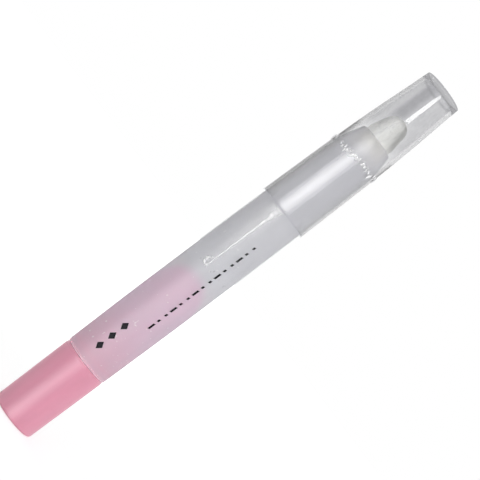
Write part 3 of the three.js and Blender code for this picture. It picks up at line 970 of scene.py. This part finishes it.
class PEN_OT_print(bpy.types.Operator):
    """Print plain dashes and a row of lozenges on the barrel"""

    bl_idname = "pen.print"
    bl_label = "Print"

    def execute(self, context):
        size = context.scene.pen_sizes
        order = np.arange(size.dash_count)
        heights = size.dash_start + size.dash_pitch * order
        long = np.where(order % 3 == 0, size.dash_long, size.dash_short)
        dashes = marks_at(size.dash_azimuth, heights, (size.dash_width, size.dash_slant), (0.0, long))
        heights = size.lozenge_start + size.lozenge_pitch * np.arange(size.lozenge_count)
        across, up = size.lozenge_half_width, size.lozenge_half_height
        lozenges = marks_at(size.lozenge_azimuth, heights, (across, -up), (across, up))
        made = printed(size, np.concatenate([dashes, lozenges]))
        dress(made, "barrel", None, print_ink(context.scene.pen_colours.ink))
        return {"FINISHED"}


def marks_at(azimuth, heights, first, second):
    """Rows of angle, height and two sides (arc, rise) for marks at an azimuth."""
    columns = np.broadcast_arrays(azimuth, heights, *first, *second)
    return np.stack(columns, axis=-1)


def printed(size, marks, steps=7):
    """Ink on the barrel: each mark is a parallelogram, middle + s e + v f, on the unrolled barrel.

    Each is a closed solid: a grid on top, the same grid as its base and a band of quads round the border.
    """
    turn, middle, first_arc, first_rise, second_arc, second_rise = marks.T[:, :, None, None]
    s, v = np.meshgrid(*[np.linspace(-0.5, 0.5, steps)] * 2, indexing="ij")
    height = middle + s * first_rise + v * second_rise
    angle = turn + (s * first_arc + v * second_arc) / BARREL.radius
    rise = size.ink_thickness * np.array([1.0, 0.1])[:, None, None, None]
    radius = barrel_radius(size, height) + rise
    vertices = np.stack([radius * np.cos(angle), radius * np.sin(angle), height + 0 * radius], axis=-1)
    top, base = np.arange(radius.size).reshape(radius.shape)
    skins = [
        np.stack([skin[:, :-1, :-1], skin[:, 1:, :-1], skin[:, 1:, 1:], skin[:, :-1, 1:]][::way], axis=-1)
        for skin, way in ((top, 1), (base, -1))
    ]
    rims = [
        np.concatenate([skin[:, :-1, 0], skin[:, -1, :-1], skin[:, :0:-1, -1], skin[:, 0, :0:-1]], axis=1)
        for skin in (top, base)
    ]
    band = np.stack([rims[0], rims[1], np.roll(rims[1], -1, 1), np.roll(rims[0], -1, 1)], axis=-1)
    faces = [quads.reshape(-1, 4).tolist() for quads in (*skins, band)]
    return mesh_object("barrel_print", vertices.reshape(-1, 3), sum(faces, []))


class PEN_OT_drive(bpy.types.Operator):
    """Finish the pieces of the drive inside the barrel"""

    bl_idname = "pen.drive"
    bl_label = "Drive"

    def execute(self, context):
        shade = context.scene.pen_colours
        natural = natural_moulded("natural_plastic", shade.natural)
        pink = pink_moulded("sleeve_pink", shade.sleeve_pink, gloss=0.4, polished=SLEEVE.front)
        finishes = {
            "spiral_sleeve": pink,
            "brake_ring": silicone_rubber(shade.silicone),
            "guide_tube": natural,
            "guide_plug": natural,
            "push_rod": natural,
            "core_cup": natural,
        }
        for node, finish in finishes.items():
            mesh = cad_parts[node].data
            mesh.materials.clear()
            mesh.materials.append(finish)
        return {"FINISHED"}


class PEN_OT_stage(bpy.types.Operator):
    """Set the floor, the lamps, the white surroundings and the camera"""

    bl_idname = "pen.stage"
    bl_label = "Stage"

    def execute(self, context):
        stage = context.scene.pen_stage
        pale_floor()
        white_world(context.scene, stage.ambient)
        key_widths = (0.15, 0.35, 0.65)
        for i, width in enumerate(key_widths):
            lamp(
                f"key_{i}",
                azimuth=-13.0,
                distance=0.45 + 0.02 * i,
                height=0.0125,
                area=(width, 0.335),
                radiance=stage.key / len(key_widths),
                mirrored=True,
            )
        lamp(
            "spot",
            azimuth=10.2,
            distance=0.45,
            height=0.2263,
            area=(0.15, 0.0216),
            radiance=stage.spot,
            mirrored=True,
        )
        for name, lean in (("upper_glint", 50.0), ("lower_glint", -50.0)):
            made = lamp(
                name,
                azimuth=-12.0,
                distance=0.32,
                height=0.02 + 0.5 * math.sin(math.radians(lean)),
                area=(0.11, 0.08),
                radiance=stage.glint,
                mirrored=True,
                lean=lean,
            )
            made.visible_diffuse = False
        fills = (
            ("right_fill", 65.0, 0.5, 0.12, (0.40, 0.40), 1.8),
            ("back_right_fill", 130.0, 0.6, 0.2, (0.35, 0.30), 1.3),
            ("back_left_fill", -140.0, 0.6, 0.2, (0.35, 0.30), 1.1),
        )
        for name, azimuth, distance, height, area, gain in fills:
            lamp(name, azimuth, distance, height, area, gain * stage.fill)
        photo_camera(context.scene, stage)
        context.scene.view_settings.view_transform = "Standard"
        return {"FINISHED"}


def pale_floor():
    """A thin white disc under z = 0, in rings of growing radius. It is lifted to white for the camera."""
    columns, reach, thickness = 96, 3.0, 0.002
    rings = np.r_[0.0, np.geomspace(0.02, reach, 12)]
    radius = np.r_[rings, reach, 0.0]
    height = np.r_[np.zeros_like(rings), -thickness, -thickness]
    floor = grid_object("floor", turned(radius[::-1], height[::-1], columns), closed=False)
    tree = material_tree("pale_floor")
    seen = tree.rays("Is Camera Ray", "Is Glossy Ray", "Is Transmission Ray")
    matt = tree.add("ShaderNodeBsdfDiffuse", sockets={"Color": (0.8, 0.8, 0.8, 1.0)})
    lifted = seen * (0.5 + 0.5 * tree.reach(tree.place()).step(0.05, 0.3))
    pale = tree.mix(lifted, (0.0, 0.0, 0.0, 1.0), (1.0, 1.0, 1.0, 1.0))
    glow = tree.add("ShaderNodeEmission", sockets={"Color": pale, "Strength": 1.0})
    floor.data.materials.append(tree.show(tree.add("ShaderNodeAddShader", sockets={0: matt, 1: glow})))
    floor.visible_glossy = False
    floor.visible_shadow = False


def white_world(scene, ambient):
    """White to the camera and in gloss and glass, and a plain level of light on matt surfaces."""
    world = bpy.data.worlds.new("white_room")
    scene.world = world
    tree = Tree(world)
    shown = tree.rays("Is Camera Ray", "Is Glossy Ray", "Is Transmission Ray")
    strength = ambient + (1 - ambient) * shown
    room = tree.add("ShaderNodeBackground", sockets={"Color": (1.0, 1.0, 1.0, 1.0), "Strength": strength})
    tree.add("ShaderNodeOutputWorld", sockets={"Surface": room})


def lamp(name, azimuth, distance, height, area, radiance, mirrored=False, lean=0.0):
    """A soft rectangle of a radiance that faces the pen's axis from an azimuth in degrees.

    Azimuth 0 is the camera's side, and the lamp faces down by its lean in degrees. Only a mirrored lamp
    shows in gloss, and none shows through glass.
    """
    data = bpy.data.lights.new(name, "AREA")
    data.shape = "RECTANGLE"
    data.size, data.size_y = area
    data.energy = radiance * math.pi * area[0] * area[1]
    made = bpy.data.objects.new(name, data)
    turn, tip = math.radians(azimuth), math.radians(lean)
    out = np.array([math.sin(turn), -math.cos(turn), 0.0])
    right = np.array([math.cos(turn), math.sin(turn), 0.0])
    top = np.array([0.0, 0.0, 1.0])
    back = math.cos(tip) * out + math.sin(tip) * top
    up = math.cos(tip) * top - math.sin(tip) * out
    made.matrix_world = placed(right, up, back, out * distance + top * height)
    made.visible_glossy = mirrored
    made.visible_transmission = False
    bpy.context.scene.collection.objects.link(made)
    return made


def placed(right, up, back, at):
    """A matrix with these three axes as columns and a place."""
    matrix = np.eye(4)
    matrix[:3] = np.stack([right, up, back, at], axis=1)
    return Matrix(matrix.tolist())


def photo_camera(scene, stage):
    """A camera that looks along +Y, rolled so that the pen rises to the right."""
    data = bpy.data.cameras.new("photo_camera")
    data.sensor_width = 36.0
    data.lens = data.sensor_width * stage.distance / stage.frame_width
    made = bpy.data.objects.new("photo_camera", data)
    right = np.array([math.sin(stage.tilt), 0.0, math.cos(stage.tilt)])
    up = np.array([-math.cos(stage.tilt), 0.0, math.sin(stage.tilt)])
    at = (stage.aim_side, -stage.distance, stage.aim_height)
    made.matrix_world = placed(right, up, (0.0, -1.0, 0.0), at)
    scene.collection.objects.link(made)
    scene.camera = made


PIECES = (
    PEN_OT_knob,
    PEN_OT_barrel,
    PEN_OT_nose,
    PEN_OT_core,
    PEN_OT_cap,
    PEN_OT_film,
    PEN_OT_print,
    PEN_OT_drive,
    PEN_OT_stage,
)


class PEN_PT_panel(bpy.types.Panel):
    """Lists the pieces, the sizes and the colours"""

    bl_idname = "PEN_PT_panel"
    bl_label = "Eyeliner pen"
    bl_space_type = "VIEW_3D"
    bl_region_type = "UI"
    bl_category = "Pen"

    def draw(self, context):
        for piece in PIECES:
            self.layout.operator(piece.bl_idname)
        for group in (context.scene.pen_sizes, context.scene.pen_colours, context.scene.pen_stage):
            box = self.layout.box()
            for name in group.__annotations__:
                box.prop(group, name)


CLASSES = (PenSizes, PenColours, StageSettings, *PIECES, PEN_PT_panel)


def register():
    for made in CLASSES:
        bpy.utils.register_class(made)
    bpy.types.Scene.pen_sizes = PointerProperty(type=PenSizes)
    bpy.types.Scene.pen_colours = PointerProperty(type=PenColours)
    bpy.types.Scene.pen_stage = PointerProperty(type=StageSettings)


def unregister():
    del bpy.types.Scene.pen_stage
    del bpy.types.Scene.pen_colours
    del bpy.types.Scene.pen_sizes
    for made in reversed(CLASSES):
        bpy.utils.unregister_class(made)


def main():
    """Registers the add-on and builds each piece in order."""
    register()
    for piece in PIECES:
        group, name = piece.bl_idname.split(".")
        getattr(getattr(bpy.ops, group), name)()


if __name__ == "__main__":
    main()
